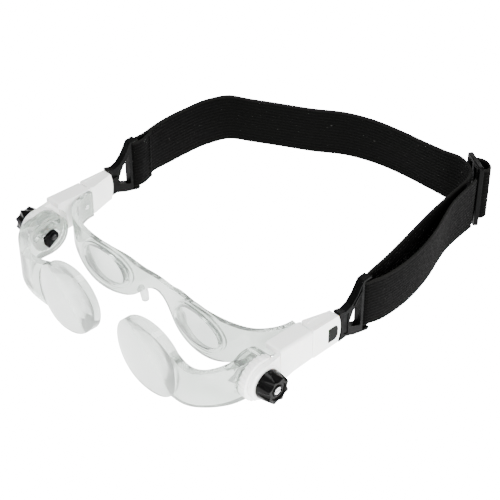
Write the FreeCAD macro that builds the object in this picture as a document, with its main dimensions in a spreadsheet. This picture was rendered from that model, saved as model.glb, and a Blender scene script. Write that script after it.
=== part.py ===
import FreeCAD, Part
import math
import os
import Sketcher
from FreeCAD import Placement, Rotation, Vector

# Head visor magnifier: two-lens Galilean spectacle on an elastic headband.
# Millimetres, +Z up, wearer looks along -Y, the wearer's left is +X.
# Everything is drawn in the wearer's frame and placed by (-middle_x, -middle_y, 0).

doc = FreeCAD.newDocument("HeadVisorMagnifier")
sizes = doc.addObject("Spreadsheet::Sheet", "Sizes")

VALUES = [
    ("middle_x", -3.45),
    ("middle_y", 88.3),
    # focus knob axis and the stack of pieces along it
    ("axis_back", 1.3),
    ("axis_height", 23.4),
    ("plate_in", 68.3),
    ("plate_thick", 1.6),
    ("drum_in", 70.2),
    ("drum_thick", 6.8),
    ("drum_radius", 10.9),
    ("ring_in", 77.2),
    ("ring_thick", 3.6),
    ("ring_radius", 10.8),
    ("ring_teeth", 26),
    ("lobe_in", 81.0),
    ("lobe_thick", 2.9),
    ("lobe_radius", 8.9),
    ("washer_in", 83.95),
    ("washer_thick", 0.4),
    ("knob_in", 84.4),
    ("knob_long", 7.1),
    ("knob_base_radius", 7.4),
    ("knob_tip_radius", 6.7),
    ("knob_flutes", 8),
    ("flute_start", 1.0),
    ("flute_end", 3.5),
    ("shaft_radius", 2.2),
    ("running_gap", 0.06),
    ("focus_travel", 3.0),
    ("focus_turn", 45.0),
    ("pin_radius", 0.9),
    ("pin_orbit", 6.2),
    ("pin_angle", 120.0),
    # housings
    ("shell_in", 74.3),
    ("shell_out", 83.9),
    ("shell_back", 30.0),
    ("shell_front", 10.0),
    ("shell_top", 36.0),
    ("shell_bottom", 19.2),
    ("wall", 1.4),
    # rear spectacle frame
    ("band_thick", 2.6),
    ("rim_thick", 4.4),
    ("eye_x", 33.6),
    ("eye_height", 22.4),
    ("eye_half_width", 15.2),
    ("eye_half_height", 9.4),
    ("eye_lens_thick", 3.2),
    # front lenses
    ("lens_x", 29.6),
    ("lens_height", 17.8),
    ("lens_front", -25.6),
    ("lens_edge_front", -21.6),
    ("lens_back", -15.2),
    ("dome_radius", 52.0),
    # temple joint
    ("hinge_x", 75.6),
    ("hinge_back", 30.25),
    ("barrel_radius", 1.2),
    ("hinge_pin_radius", 0.5),
    # temple sleeve and clip
    ("sleeve_front", 31.0),
    ("sleeve_back", 48.6),
    ("sleeve_out", 83.7),
    ("button_proud", 0.25),
    ("button_thick", 2.0),
    ("clip_in", 80.0),
    ("clip_thick", 4.2),
    ("bar_back", 68.0),
    ("bar_centre", 66.3),
    ("rail_front", 61.7),
    ("slot_low", 17.9),
    ("slot_high", 46.0),
    # headband
    ("strap_wide", 31.0),
    ("wrap_radius", 1.85),
    ("strap_thick", 1.5),
    ("glide_long", 18.0),
    ("glide_wide", 36.8),
    ("glide_thick", 2.6),
]
for row, (name, value) in enumerate(VALUES, start=1):
    sizes.set("A%d" % row, name)
    sizes.set("B%d" % row, str(value))
    sizes.setAlias("B%d" % row, name)
doc.recompute()
V = dict(VALUES)
NODES = []


# ---------------------------------------------------------------- helpers

def plane(body, role):
    for feature in body.Origin.OriginFeatures:
        if feature.Role == role:
            return feature
    raise ValueError(role)


def sketch(body, role, offset=0.0, offset_expr=None):
    """Sketch on one of the body's own origin planes, moved along its normal."""
    sk = body.newObject("Sketcher::SketchObject", body.Name + "_sketch")
    sk.AttachmentSupport = [(plane(body, role), "")]
    sk.MapMode = "FlatFace"
    sk.AttachmentOffset = Placement(Vector(0, 0, offset), Rotation())
    if offset_expr:
        sk.setExpression("AttachmentOffset.Base.z", offset_expr)
    return sk


def polygon(sk, points):
    """Closed outline; a point (x, y, bx, by) is reached by an arc through (bx, by)."""
    count = len(points)
    first = None
    previous = None
    for i in range(count):
        start = Vector(points[i][0], points[i][1], 0)
        following = points[(i + 1) % count]
        end = Vector(following[0], following[1], 0)
        if len(following) == 4:
            arc = Part.Arc(start, Vector(following[2], following[3], 0), end)
            index = sk.addGeometry(arc, False)
            forward = (sk.getPoint(index, 1) - start).Length < 1e-6
            ends = (1, 2) if forward else (2, 1)
        else:
            index = sk.addGeometry(Part.LineSegment(start, end), False)
            ends = (1, 2)
        if previous is not None:
            sk.addConstraint(Sketcher.Constraint("Coincident", previous[0], previous[1], index, ends[0]))
        else:
            first = (index, ends[0])
        previous = (index, ends[1])
    sk.addConstraint(Sketcher.Constraint("Coincident", previous[0], previous[1], first[0], first[1]))


def circle(sk, x, y, radius, radius_expr=None):
    index = sk.addGeometry(Part.Circle(Vector(x, y, 0), Vector(0, 0, 1), radius), False)
    number = sk.addConstraint(Sketcher.Constraint("Radius", index, radius))
    if radius_expr:
        sk.renameConstraint(number, "radius_%d" % index)
        sk.setExpression("Constraints.radius_%d" % index, radius_expr)
    return index


def strip(sk, left, right):
    """Closed outline between two smooth curves that run the same way."""
    one = Part.BSplineCurve()
    one.interpolate([Vector(x, y, 0) for x, y in left])
    two = Part.BSplineCurve()
    two.interpolate([Vector(x, y, 0) for x, y in right])
    a = sk.addGeometry(one, False)
    b = sk.addGeometry(two, False)
    c = sk.addGeometry(Part.LineSegment(Vector(*left[0], 0), Vector(*right[0], 0)), False)
    d = sk.addGeometry(Part.LineSegment(Vector(*left[-1], 0), Vector(*right[-1], 0)), False)
    return a, b, c, d


def smooth_loop(sk, points):
    curve = Part.BSplineCurve()
    curve.interpolate([Vector(x, y, 0) for x, y in points], True)
    return sk.addGeometry(curve, False)


def set_length(feature, expression):
    feature.setExpression("Length", expression)
    return feature


def pad(body, sk, expression, symmetric=False):
    feature = body.newObject("PartDesign::Pad", body.Name + "_pad")
    feature.Profile = sk
    set_length(feature, expression)
    if symmetric:
        if hasattr(feature, "SideType"):
            feature.SideType = "Symmetric"
        else:
            feature.Midplane = True
    sk.Visibility = False
    doc.recompute()
    return feature


def pocket(body, sk, expression, symmetric=False, reverse=False):
    feature = body.newObject("PartDesign::Pocket", body.Name + "_pocket")
    feature.Profile = sk
    set_length(feature, expression)
    if symmetric:
        if hasattr(feature, "SideType"):
            feature.SideType = "Symmetric"
        else:
            feature.Midplane = True
    feature.Reversed = reverse
    sk.Visibility = False
    before = feature.BaseFeature.Shape.Volume
    doc.recompute()
    if feature.Shape.isNull() or feature.Shape.Volume > before - 1e-3:
        feature.Reversed = not reverse
        doc.recompute()
    return feature


def round_edges(body, radius, wanted):
    """Fillet the edges of the body's tip for which wanted(edge) is true."""
    base = body.Tip
    names = []
    for number, edge in enumerate(base.Shape.Edges, start=1):
        if wanted(edge):
            names.append("Edge%d" % number)
    if not names:
        raise ValueError("no edge to round on " + body.Label)
    feature = body.newObject("PartDesign::Fillet", body.Name + "_fillet")
    feature.Base = (base, names)
    feature.Radius = radius
    doc.recompute()
    return feature


def new_body(name):
    body = doc.addObject("PartDesign::Body", name)
    body.Label = name
    return body


def cylinder(name, radius, height, x, y, z, axis="X", radius_expr=None, height_expr=None):
    obj = doc.addObject("Part::Cylinder", name)
    obj.Radius = radius
    obj.Height = height
    turn = {
        "X": Rotation(Vector(0, 1, 0), 90),
        "Y": Rotation(Vector(1, 0, 0), -90),
        "Z": Rotation(),
    }[axis]
    obj.Placement = Placement(Vector(x, y, z), turn)
    if radius_expr:
        obj.setExpression("Radius", radius_expr)
    if height_expr:
        obj.setExpression("Height", height_expr)
    return obj


def block(name, x0, x1, y0, y1, z0, z1):
    obj = doc.addObject("Part::Box", name)
    obj.Length = x1 - x0
    obj.Width = y1 - y0
    obj.Height = z1 - z0
    obj.Placement = Placement(Vector(x0, y0, z0), Rotation())
    return obj


def fused(name, parts):
    """Union of several pieces; a single piece is only wrapped, so that it can be placed."""
    if len(parts) == 1:
        obj = doc.addObject("Part::Compound", name)
        obj.Links = parts
    else:
        obj = doc.addObject("Part::MultiFuse", name)
        obj.Shapes = parts
    return obj


def cut(name, base, tool):
    obj = doc.addObject("Part::Cut", name)
    obj.Base = base
    obj.Tool = tool
    return obj


def common(name, one, two):
    obj = doc.addObject("Part::Common", name)
    obj.Base = one
    obj.Tool = two
    return obj


def node(name, obj):
    """Name a finished piece and move it from the wearer's frame to the part frame."""
    obj.Label = name
    obj.setExpression("Placement.Base.x", "-Sizes.middle_x")
    obj.setExpression("Placement.Base.y", "-Sizes.middle_y")
    NODES.append((name, obj))
    return obj


def pair(name, obj):
    """A left piece and its mirror image on the right."""
    left = node("left_" + name, obj)
    right = doc.addObject("Part::Mirroring", "right_" + name)
    right.Source = left
    right.Normal = Vector(1, 0, 0)
    right.setExpression("Base.x", "-Sizes.middle_x")
    right.Label = "right_" + name
    NODES.append(("right_" + name, right))


def offset_curve(points, distance):
    """Points moved sideways (left of travel) by distance, from central differences."""
    moved = []
    for i, (x, y) in enumerate(points):
        ax, ay = points[max(i - 1, 0)]
        bx, by = points[min(i + 1, len(points) - 1)]
        length = math.hypot(bx - ax, by - ay)
        moved.append((x - (by - ay) / length * distance, y + (bx - ax) / length * distance))
    return moved


AY = V["axis_back"]
AZ = V["axis_height"]

# ---------------------------------------------------------------- rear spectacle frame

HALF_BAND = [
    (0, 11.6), (7, 11.2), (18, 8.8), (33.6, 6.6), (46, 6.9), (57.0, 9.0), (65.0, 13.0), (69.6, 18.6),
    (72.1, 24.5), (72.6, 29.6)]
BAND = [(-x, y) for x, y in reversed(HALF_BAND[1:])] + HALF_BAND


def band_solid(name, thickness):
    body = new_body(name)
    sk = sketch(body, "XY_Plane")
    strip(sk, offset_curve(BAND, thickness / 2), offset_curve(BAND, -thickness / 2))
    pad(body, sk, "2 * Sizes.shell_top", symmetric=True)
    return body


band = band_solid("BandStrip", V["band_thick"])
thick_band = band_solid("RimStrip", V["rim_thick"])

front_view = new_body("FrameFrontView")
sk = sketch(front_view, "XZ_Plane")
TOP = [(0, 30.2), (10, 30.6), (18, 33.4), (30, 34.6), (45, 35.0), (60, 35.4), (76, 35.4)]
LOW = [(0, 22.8), (8, 19.2), (14, 13.6), (23, 9.8), (33, 8.6), (44, 9.6), (54, 13.4), (64, 18.6), (76, 21.2)]
strip(sk,
      [(-x, z) for x, z in reversed(TOP[1:])] + TOP,
      [(-x, z) for x, z in reversed(LOW[1:])] + LOW)
pad(front_view, sk, "100", symmetric=True)


def eye_oval(name, extra):
    body = new_body(name)
    sk = sketch(body, "XZ_Plane")
    ellipse = Part.Ellipse(Vector(V["eye_x"], V["eye_height"], 0),
                           V["eye_half_width"] + extra, V["eye_half_height"] + extra)
    sk.addGeometry(ellipse, False)
    pad(body, sk, "60", symmetric=True)
    return body


rim_tool = eye_oval("RimOvalLeft", 2.0)
rim_right = doc.addObject("Part::Mirroring", "RimOvalRight")
rim_right.Source = rim_tool
rim_right.Normal = Vector(1, 0, 0)
hole_left = eye_oval("EyeHoleLeft", 0.0)
hole_right = doc.addObject("Part::Mirroring", "EyeHoleRight")
hole_right.Source = hole_left
hole_right.Normal = Vector(1, 0, 0)

band_front = common("BandInOutline", band, front_view)
rims = common("RimsRaised", thick_band, fused("RimTools", [rim_tool, rim_right]))
frame_solid = fused("FrameSolid", [band_front, rims])
screw_bore = cylinder("FrameScrewBore", 0.62, 8, 70.5, 25.6, 28.2)
screw_bore_right = cylinder("FrameScrewBoreRight", 0.62, 8, -78.5, 25.6, 28.2)
screw_seat = cylinder("FrameScrewSeat", 1.35, 4.02, 68.0, 25.6, 28.2)
screw_seat_right = cylinder("FrameScrewSeatRight", 1.35, 4.02, -72.02, 25.6, 28.2)
frame_cut = cut("FrameCut", frame_solid,
                fused("FrameHoles", [
                    hole_left, hole_right, screw_bore, screw_bore_right, screw_seat, screw_seat_right]))
node("ocular_frame", frame_cut)

# eyepiece lenses: shallow negative meniscus in the rims
lens_blank = common("EyeLensBlank", eye_oval("EyeLensOval", -0.05), block(
    "EyeLensSlab", 0, 60, 6.6 - V["eye_lens_thick"] / 2, 6.6 + V["eye_lens_thick"] / 2, 0, 50))
hollow_ball = doc.addObject("Part::Sphere", "EyeLensHollow")
hollow_ball.Radius = 90
hollow_ball.Placement = Placement(
    Vector(V["eye_x"], 6.6 + V["eye_lens_thick"] / 2 + 90 - 1.1, V["eye_height"]), Rotation())
pair("eyepiece_lens", cut("EyeLens", lens_blank, hollow_ball))

# nose pads: a rounded peg below and behind each side of the bridge
nose = new_body("NosePad")
sk = sketch(nose, "XZ_Plane")
polygon(sk, [
    (0, -4.6), (1.0, -4.6), (1.9, -3.9, 1.6, -4.4), (2.2, 0.0), (1.6, 3.9), (0.8, 4.6, 1.3, 4.4), (0, 4.6)])
turned = nose.newObject("PartDesign::Revolution", "NosePad_turn")
turned.Profile = sk
turned.ReferenceAxis = (sk, ["V_Axis"])
turned.Angle = 360
sk.Visibility = False
doc.recompute()
nose.Placement = Placement(Vector(13.4, 13.6, 12.4), Rotation(Vector(0, 1, 0), 10))
nose_stem = cylinder("NoseStem", 0.9, 2.6, 13.8, 11.3, 15.6, "Y")
nose_all = fused("NosePadWhole", [nose, nose_stem])
pair("nose_pad", nose_all)

# ---------------------------------------------------------------- housings


def on_outer_face(edge):
    box = edge.BoundBox
    return abs(box.XMin - V["shell_out"]) < 1e-4 and abs(box.XMax - V["shell_out"]) < 1e-4


shell = new_body("HousingShell")
sk = sketch(shell, "YZ_Plane", V["shell_in"], "Sizes.shell_in")
polygon(sk, [
    (V["shell_front"], V["shell_top"] - 0.4),
    (V["shell_front"] + 1.2, V["shell_top"]),
    (V["shell_back"], V["shell_top"] - 0.3),
    (V["shell_back"], V["shell_bottom"] + 0.3),
    (V["shell_front"] + 2.6, V["shell_bottom"] - 0.6),
    (V["shell_front"], V["shell_bottom"] - 1.2),
])
pad(shell, sk, "Sizes.shell_out - Sizes.shell_in")
round_edges(shell, 1.5, lambda e: on_outer_face(e) and e.BoundBox.YLength > 12)
# the drum and the ring sit in a cradle that leaves room for the focus travel
for shift in (0.0, V["focus_travel"]):
    sk = sketch(shell, "YZ_Plane", V["lobe_in"], "Sizes.lobe_in")
    circle(sk, AY + shift, AZ, V["drum_radius"] + 0.35, "Sizes.drum_radius + 0.35")
    pocket(shell, sk, "12", reverse=False)
# hollow behind the knob, open on the inner side
sk = sketch(shell, "YZ_Plane", V["shell_in"], "Sizes.shell_in - 0.01")
polygon(sk, [(19.0, 21.6), (27.6, 21.6), (27.6, 33.4), (19.0, 33.4)])
pocket(shell, sk, "Sizes.lobe_in - Sizes.shell_in", reverse=True)

# outer plate with the round lobe on the knob axis
R = V["lobe_radius"]
LT = V["lobe_thick"]
link = new_body("LobeLink")
sk = sketch(link, "YZ_Plane", V["lobe_in"], "Sizes.lobe_in")
polygon(sk, [
    (AY, AZ + R - 0.3), (V["shell_front"], V["shell_top"] - 2.6), (V["shell_front"] + 5.0, V["shell_top"] - 2.0),
    (V["shell_front"] + 5.0, V["shell_bottom"] + 0.4), (V["shell_front"], V["shell_bottom"] - 0.8),
    (AY, AZ - R + 0.3)])
pad(link, sk, "Sizes.lobe_thick - 0.5")
lobe = new_body("LobeDisc")
sk = sketch(lobe, "XZ_Plane")
polygon(sk, [(0, 0), (R, 0), (R, LT - 1.2), (R - 1.2, LT, R - 0.35, LT - 0.35), (0, LT)])
turned = lobe.newObject("PartDesign::Revolution", "LobeDisc_turn")
turned.Profile = sk
turned.ReferenceAxis = (sk, ["V_Axis"])
turned.Angle = 360
sk.Visibility = False
lobe.Placement = Placement(Vector(V["lobe_in"], AY, AZ), Rotation(Vector(0, 1, 0), 90))
lobe_bore = cylinder("LobeBore", V["shaft_radius"] + V["running_gap"], 6, 80, AY, AZ, "X",
                     "Sizes.shaft_radius + Sizes.running_gap")

HX = V["hinge_x"]
HY = V["hinge_back"]
ear_low = cylinder("EarLow", V["barrel_radius"], 4.0, HX, HY, V["shell_bottom"] + 0.4, "Z", "Sizes.barrel_radius")
ear_high = cylinder("EarHigh", V["barrel_radius"], 4.2, HX, HY, 31.4, "Z", "Sizes.barrel_radius")
ear_web = block("EarWebLow", HX - 1.0, HX + 1.0, 28.8, HY, V["shell_bottom"] + 0.4, V["shell_bottom"] + 4.4)
ear_web_high = block("EarWebHigh", HX - 1.0, HX + 1.0, 28.8, HY, 31.4, 35.6)
knuckle_room = cylinder("KnuckleRoom", V["barrel_radius"] + 0.25, 7.8, HX, HY, 23.6, "Z",
                        "Sizes.barrel_radius + 0.25")
pin_room = cylinder("PinRoom", V["hinge_pin_radius"] + 0.01, 20, HX, HY, 17.0, "Z",
                    "Sizes.hinge_pin_radius + 0.01")
cover_screw_bore = cylinder("CoverScrewBore", 0.62, 6.0, 74.0, 25.6, 28.2)
shell_with_ears = fused("ShellWithEars", [shell, link, lobe, ear_low, ear_high, ear_web, ear_web_high])
shell_whole = cut("ShellWhole", shell_with_ears,
                  fused("ShellRooms", [knuckle_room, pin_room, cover_screw_bore, lobe_bore]))
pair("housing_shell", shell_whole)

# inner cover: a plate in the mouth of the hollow, with the boss the frame is screwed to
cover = new_body("HousingCover")
sk = sketch(cover, "YZ_Plane", V["shell_in"] + 0.1, "Sizes.shell_in + 0.1")
polygon(sk, [(19.1, 21.7), (27.5, 21.7), (27.5, 33.3), (19.1, 33.3)])
pad(cover, sk, "1.2")
sk = sketch(cover, "YZ_Plane", V["shell_in"] + 1.3, "Sizes.shell_in + 1.3")
circle(sk, 25.6, 28.2, 1.7)
pad(cover, sk, "3.2")
sk = sketch(cover, "YZ_Plane", V["shell_in"], "Sizes.shell_in")
circle(sk, 25.6, 28.2, 0.6)
pocket(cover, sk, "4.4", reverse=True)
pair("housing_cover", cover)

# screw that holds the clear frame to the cover
frame_screw = fused("FrameScrew", [
    cylinder("FrameScrewHead", 1.3, 0.7, 71.3, 25.6, 28.2),
    cylinder("FrameScrewShank", 0.58, 6.6, 71.9, 25.6, 28.2)])
slot_tool = block("FrameScrewSlot", 71.2, 71.6, 24.2, 27.0, 28.0, 28.4)
pair("frame_screw", cut("FrameScrewSlotted", frame_screw, slot_tool))

hinge_pin = cylinder("HingePin", V["hinge_pin_radius"], 15.4, HX, HY, 19.9, "Z", "Sizes.hinge_pin_radius")
pair("hinge_pin", fused("HingePinWhole", [hinge_pin]))

# ---------------------------------------------------------------- focus knob and its shaft

L = V["knob_long"]
RB = V["knob_base_radius"]
RT = V["knob_tip_radius"]
knob_blank = new_body("KnobBlank")
sk = sketch(knob_blank, "XZ_Plane")
polygon(sk, [
    (0, 0), (RB - 0.3, 0), (RB, 0.4, RB - 0.08, 0.12), (RB - 0.1, 1.1), (RT, L - 0.7),
    (RT - 0.7, L, RT - 0.2, L - 0.2), (4.6, L), (4.3, L - 0.8), (3.0, L - 0.8), (2.7, L - 0.2),
    (2.2, L - 0.2), (2.2, L - 1.5), (0, L - 1.5)])
turned = knob_blank.newObject("PartDesign::Revolution", "KnobBlank_turn")
turned.Profile = sk
turned.ReferenceAxis = (sk, ["V_Axis"])
turned.Angle = 360
sk.Visibility = False
doc.recompute()
flutes = []
for i in range(int(V["knob_flutes"])):
    cone = doc.addObject("Part::Cone", "Flute%d" % i)
    cone.Radius1 = V["flute_start"]
    cone.Radius2 = V["flute_end"]
    cone.setExpression("Radius1", "Sizes.flute_start")
    cone.setExpression("Radius2", "Sizes.flute_end")
    cone.Height = L
    angle = math.radians(360.0 / V["knob_flutes"] * i)
    cone.Placement = Placement(
        Vector((RB + 0.9) * math.cos(angle), (RB + 0.9) * math.sin(angle), 1.0), Rotation())
    flutes.append(cone)
bore = cylinder("KnobBore", V["shaft_radius"] + 0.01, L - 2.6, 0, 0, -0.01, "Z", "Sizes.shaft_radius + 0.01")
screw_hole = cylinder("KnobScrewHole", 0.85, L, 0, 0, 0, "Z")
knob_local = cut("KnobCut", knob_blank, fused("KnobTools", flutes + [bore, screw_hole]))


def on_axis(name, obj, x):
    """Turn a piece drawn along local Z onto the knob axis, starting at x."""
    holder = fused(name, [obj])
    obj.Placement = Placement(Vector(x, AY, AZ), Rotation(Vector(0, 1, 0), 90)).multiply(obj.Placement)
    return holder


pair("focus_knob", on_axis("KnobOnAxis", knob_local, V["knob_in"]))

shaft_from = V["plate_in"] + V["plate_thick"]
shaft_to = V["knob_in"] + L - 2.7
shaft_rod = cylinder("ShaftRod", V["shaft_radius"], shaft_to - shaft_from, shaft_from, AY, AZ, "X",
                     "Sizes.shaft_radius")
shaft_tap_in = cylinder("ShaftTapIn", 0.82, 3.2, shaft_from - 0.1, AY, AZ)
shaft_tap_out = cylinder("ShaftTapOut", 0.82, 3.2, shaft_to - 3.1, AY, AZ)
pair("knob_shaft", cut("Shaft", shaft_rod, fused("ShaftTaps", [shaft_tap_in, shaft_tap_out])))

knob_screw = fused("KnobScrew", [
    cylinder("KnobScrewHead", 1.9, 0.9, V["knob_in"] + L - 1.45, AY, AZ),
    cylinder("KnobScrewShank", 0.8, 3.9, V["knob_in"] + L - 5.3, AY, AZ)])
KNOB_FACE = V["knob_in"] + L
knob_slot = block("KnobScrewSlot", KNOB_FACE - 0.95, KNOB_FACE, AY - 2.2, AY + 2.2, AZ - 0.28, AZ + 0.28)
pair("knob_screw", cut("KnobScrewSlotted", knob_screw, knob_slot))

washer = cut("Washer",
             cylinder("WasherDisc", 5.2, V["washer_thick"], V["washer_in"], AY, AZ, "X",
                      None, "Sizes.washer_thick"),
             cylinder("WasherBore", V["shaft_radius"] + 0.02, 2, V["washer_in"] - 0.5, AY, AZ, "X"))
pair("knob_washer", washer)

# ---------------------------------------------------------------- toothed ring

ring = new_body("ToothedRing")
sk = sketch(ring, "XY_Plane")
circle(sk, 0, 0, V["ring_radius"], "Sizes.ring_radius")
circle(sk, 0, 0, V["shaft_radius"] + 0.01, "Sizes.shaft_radius + 0.01")
pad(ring, sk, "Sizes.ring_thick")
sk = sketch(ring, "XY_Plane", V["ring_thick"], "Sizes.ring_thick")
circle(sk, V["ring_radius"] + 0.55, 0, 1.0)
scallop = pocket(ring, sk, "Sizes.ring_thick + 1")
pattern = ring.newObject("PartDesign::PolarPattern", "ToothedRing_pattern")
pattern.Originals = [scallop]
pattern.Axis = (plane(ring, "Z_Axis"), [""])
pattern.Angle = 360
pattern.Occurrences = int(V["ring_teeth"])
pattern.setExpression("Occurrences", "Sizes.ring_teeth")
ring.Tip = pattern
doc.recompute()
ring_on_axis = on_axis("RingOnAxis", ring, V["ring_in"])
pin_a = math.radians(V["pin_angle"])
PIN_Y = AY + V["pin_orbit"] * math.cos(pin_a)
PIN_Z = AZ + V["pin_orbit"] * math.sin(pin_a)
drive_pin = cylinder("DrivePin", V["pin_radius"], 5.4, V["ring_in"] - 5.2, PIN_Y, PIN_Z, "X",
                     "Sizes.pin_radius")
pair("toothed_ring", fused("RingWithPin", [ring_on_axis, drive_pin]))

# ---------------------------------------------------------------- retaining plate on the inner end of the shaft

plate = new_body("CamPlate")
sk = sketch(plate, "YZ_Plane", V["plate_in"], "Sizes.plate_in")
polygon(sk, [
    (AY - 5.2, AZ + 1.0), (AY - 0.6, AZ + 3.2), (AY + 2.6, AZ - 1.9, AY + 3.2, AZ + 0.8),
    (AY - 3.0, AZ - 5.6), (AY - 4.6, AZ - 3.2)])
pad(plate, sk, "Sizes.plate_thick")
sk = sketch(plate, "YZ_Plane", V["plate_in"], "Sizes.plate_in - 0.01")
circle(sk, AY, AZ, 0.84)
pocket(plate, sk, "Sizes.plate_thick + 1", reverse=True)
pair("cam_plate", plate)
cam_screw = fused("CamScrew", [
    cylinder("CamScrewHead", 1.5, 0.8, V["plate_in"] - 0.82, AY, AZ),
    cylinder("CamScrewShank", 0.78, 4.4, V["plate_in"] - 0.1, AY, AZ)])
PLATE_FACE = V["plate_in"]
cam_slot = block("CamScrewSlot", PLATE_FACE - 0.9, PLATE_FACE - 0.45, AY - 2, AY + 2, AZ - 0.2, AZ + 0.2)
pair("cam_screw", cut("CamScrewSlotted", cam_screw, cam_slot))

# ---------------------------------------------------------------- front lenses on their sliding arms

LENS_LOOP = [
    (8.2, 19.5), (11.2, 28.6), (19.5, 34.4), (30.0, 35.8), (40.0, 33.4), (47.6, 27.2),
    (49.6, 17.5), (47.4, 7.6), (40.0, 1.1), (30.0, 0.3), (19.5, 3.0), (11.6, 9.8)]


def lens_outline(name, grow):
    body = new_body(name)
    sk = sketch(body, "XZ_Plane")
    cx = V["lens_x"]
    cz = V["lens_height"]
    points = []
    for x, z in LENS_LOOP:
        reach = math.hypot(x - cx, z - cz)
        points.append((x + (x - cx) / reach * grow, z + (z - cz) / reach * grow))
    smooth_loop(sk, points)
    pad(body, sk, "100", symmetric=True)
    return body


lens_slab = block("LensSlab", 0, 60, V["lens_front"], V["lens_back"], -5, 45)
dome = doc.addObject("Part::Sphere", "LensDome")
dome.setExpression("Radius", "Sizes.dome_radius")
dome.Placement = Placement(
    Vector(V["lens_x"], V["lens_front"] + V["dome_radius"], V["lens_height"]), Rotation())
rear_dome = doc.addObject("Part::Sphere", "LensRearDome")
rear_dome.Radius = 120
rear_dome.Placement = Placement(Vector(V["lens_x"], V["lens_back"] - 120, V["lens_height"]), Rotation())
lens_body = common("LensDomed", common("LensCut", lens_outline("LensOutline", 0.0), lens_slab), dome)
pair("objective_lens", common("LensFinished", lens_body, rear_dome))

ARM = [
    (43.0, -18.8), (51.5, -20.3), (60.0, -20.4), (67.6, -17.0), (72.4, -10.4), (73.6, -3.5), (73.6, 1.3)]
ARM_HALF = [2.0, 2.0, 2.1, 2.4, 2.9, 3.3, 3.4]


def arm_sides():
    outer = []
    inner = []
    for i, (x, y) in enumerate(ARM):
        ax, ay = ARM[max(i - 1, 0)]
        bx, by = ARM[min(i + 1, len(ARM) - 1)]
        length = math.hypot(bx - ax, by - ay)
        nx, ny = (by - ay) / length, -(bx - ax) / length
        outer.append((x + nx * ARM_HALF[i], y + ny * ARM_HALF[i]))
        inner.append((x - nx * ARM_HALF[i], y - ny * ARM_HALF[i]))
    return outer, inner


arm_top_view = new_body("ArmTopView")
sk = sketch(arm_top_view, "XY_Plane")
outer_side, inner_side = arm_sides()
strip(sk, outer_side, inner_side)
pad(arm_top_view, sk, "2 * Sizes.shell_top", symmetric=True)
arm_front_view = new_body("ArmFrontView")
sk = sketch(arm_front_view, "XZ_Plane")
strip(sk,
      [(43.0, 30.6), (50.0, 29.0), (57.0, 28.4), (64.0, 29.6), (70.0, 32.0), (78.0, 33.4)],
      [(43.0, 4.6), (50.0, 6.0), (57.0, 8.0), (64.0, 10.4), (70.0, 12.2), (78.0, 13.2)])
pad(arm_front_view, sk, "100", symmetric=True)
arm_band = common("ArmBand", arm_top_view, arm_front_view)
arm_limit = block("ArmLimit", 40, V["drum_in"] + V["drum_thick"], -40, AY, -5, 45)
arm_trim = common("ArmTrim", arm_band, arm_limit)
arm_seated = cut("ArmSeated", arm_trim, lens_outline("LensSeat", 0.03))

drum = new_body("Drum")
sk = sketch(drum, "YZ_Plane", V["drum_in"], "Sizes.drum_in")
circle(sk, AY, AZ, V["drum_radius"], "Sizes.drum_radius")
pad(drum, sk, "Sizes.drum_thick")
# raised collar round the middle of the inner face
sk = sketch(drum, "YZ_Plane", V["drum_in"], "Sizes.drum_in - 0.01")
circle(sk, AY, AZ, 9.6)
circle(sk, AY, AZ, 8.9)
pocket(drum, sk, "0.5", reverse=True)
whole_arm = fused("ArmAndDrum", [arm_seated, drum])

slot_half = V["focus_travel"] + V["shaft_radius"] + 0.25
shaft_slot = fused("ShaftSlot", [
    block("ShaftSlotMiddle", 60, 80, AY - slot_half + 2.4, AY + slot_half - 2.4, AZ - 2.4, AZ + 2.4),
    cylinder("ShaftSlotFront", 2.4, 20, 60, AY - slot_half + 2.4, AZ),
    cylinder("ShaftSlotBack", 2.4, 20, 60, AY + slot_half - 2.4, AZ)])

# cam slot: the drive pin's path as seen from the sliding drum
TURN = math.radians(V["focus_turn"])
path = []
STEPS = 8
for i in range(STEPS + 1):
    turn = -1.25 * TURN + 2.5 * TURN * i / STEPS
    angle = pin_a + turn
    path.append((AY + V["pin_orbit"] * math.cos(angle) - V["focus_travel"] * turn / TURN,
                 AZ + V["pin_orbit"] * math.sin(angle)))
cam_slot_body = new_body("CamSlot")
sk = sketch(cam_slot_body, "YZ_Plane", V["drum_in"] - 5, "Sizes.drum_in - 5")
strip(sk, offset_curve(path, V["pin_radius"] + 0.3), offset_curve(path, -V["pin_radius"] - 0.3))
pad(cam_slot_body, sk, "20")
pair("lens_carrier", cut("Carrier", whole_arm, fused("CarrierSlots", [shaft_slot, cam_slot_body])))

# ---------------------------------------------------------------- temple sleeve

SF = V["sleeve_front"]
SB = V["sleeve_back"]
SO = V["sleeve_out"]
sleeve_top = new_body("SleeveTopView")
sk = sketch(sleeve_top, "XY_Plane")
polygon(sk, [
    (HX + 0.3, SF), (SO - 0.4, SF), (SO, SF + 0.6), (SO + 0.1, SB), (78.4, SB), (77.2, 43.0),
    (74.6, 33.6), (74.6, SF + 1.3)])
pad(sleeve_top, sk, "2 * Sizes.shell_top", symmetric=True)
sleeve_side = new_body("SleeveSideView")
sk = sketch(sleeve_side, "YZ_Plane", 70, "70")
polygon(sk, [
    (SF, 19.6), (SF, 35.6), (SB - 1.6, 35.4), (SB - 1.6, 20.0, SB, 27.6)])
pad(sleeve_side, sk, "20")
sleeve_blank = common("SleeveBlank", sleeve_top, sleeve_side)
panel = block("SleevePanel", 77.6, SO - 1.6, SF + 1.4, SB - 3.4, 35.25, 40)
EAR_ROOM = V["barrel_radius"] + 0.25
EAR_ROOM_EXPRESSION = "Sizes.barrel_radius + 0.25"
ear_room_low = cylinder("EarRoomLow", EAR_ROOM, 5.0, HX, HY, V["shell_bottom"] - 0.4, "Z", EAR_ROOM_EXPRESSION)
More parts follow.
